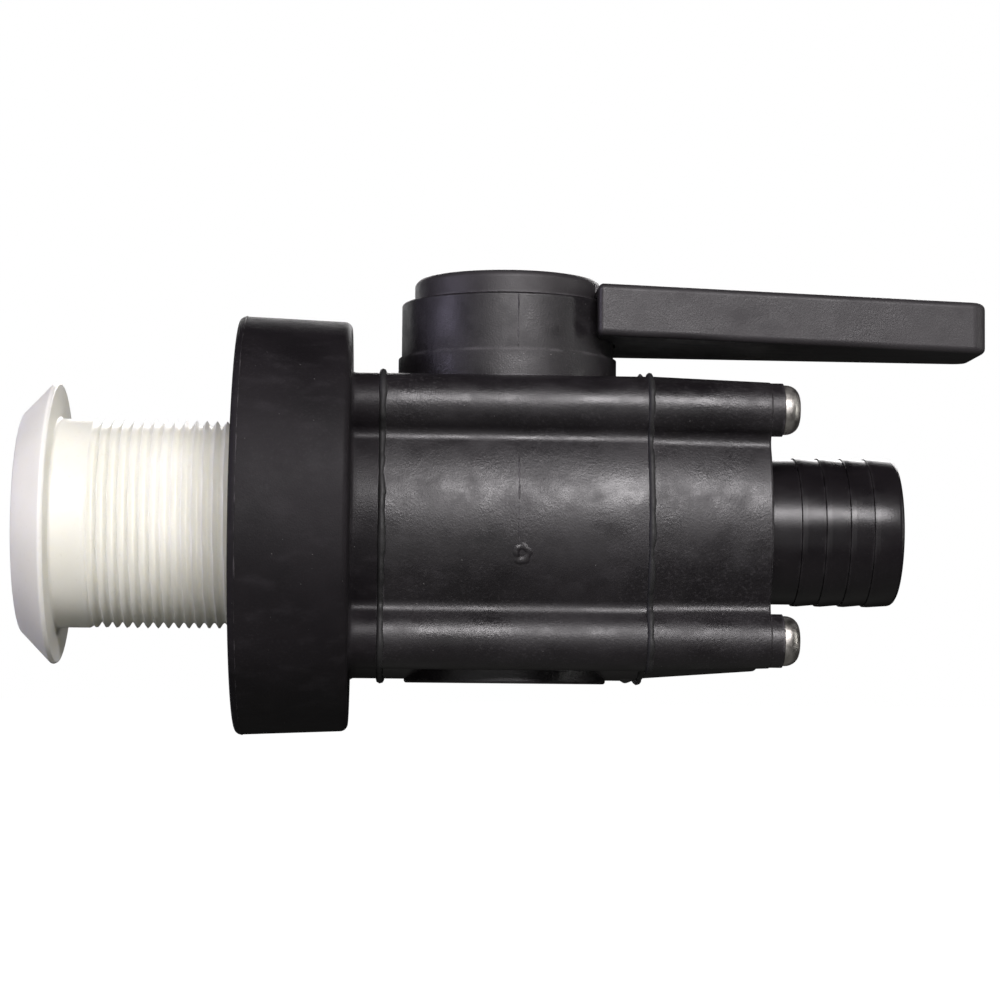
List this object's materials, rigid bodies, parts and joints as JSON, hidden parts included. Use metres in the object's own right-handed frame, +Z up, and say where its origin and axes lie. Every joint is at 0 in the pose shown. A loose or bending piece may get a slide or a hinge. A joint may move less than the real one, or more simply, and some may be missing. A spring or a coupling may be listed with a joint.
{
  "type": "seacock valve",
  "caption": "Plastic ball-valve seacock with a threaded through-hull fitting, round hull flange, bolted body, quarter-turn lever and ribbed hose tail.",
  "frame": {"origin": "centre of the flange's hull face, on the water path", "axes": "+X along the water path from the hull to the hose, +Z up the stem towards the handle"},
  "size_m": [0.2185, 0.095, 0.1042],
  "materials": {
    "black_nylon": "satin moulded, glass-filled nylon",
    "handle_nylon": "satin moulded, glass-filled nylon, scuffed",
    "polished_black_nylon": "semi-gloss moulded",
    "white_nylon": "satin moulded",
    "ball_nylon": "smooth, turned",
    "seat_ptfe": "waxy",
    "rubber": "matt",
    "stainless": "satin stainless steel"
  },
  "bodies": {
    "valve_body": {"base_flange": "black_nylon", "hull_side_gasket": "rubber", "ball_housing": "black_nylon", "tail_side_gasket": "rubber", "tail_cover": "black_nylon", "hose_tail": "polished_black_nylon", "hose_tail_seal": "rubber", "hull_side_seat": "seat_ptfe", "tail_side_seat": "seat_ptfe", "hull_side_seat_ring": "rubber", "tail_side_seat_ring": "rubber", "stem_thrust_washer": "seat_ptfe", "body_screws": "stainless", "body_nuts": "stainless"},
    "handle_and_ball": {"ball": "ball_nylon", "stem": "ball_nylon", "stem_lower_ring": "rubber", "stem_upper_ring": "rubber", "handle": "handle_nylon", "handle_washer": "stainless", "handle_screw": "stainless"},
    "through_hull": {"through_hull_fitting": "white_nylon"}
  },
  "joints": [
    {"name": "handle_turn", "type": "hinge", "parent": "valve_body", "child": "handle_and_ball", "pos_m": [0.061, 0, 0], "axis": [0, 0, 1], "range_deg": [-90, 0]},
    {"name": "fitting_screw_in", "type": "slide", "parent": "valve_body", "child": "through_hull", "axis": [1, 0, 0], "range_m": [-0.018, 0.0085]}
  ]
}
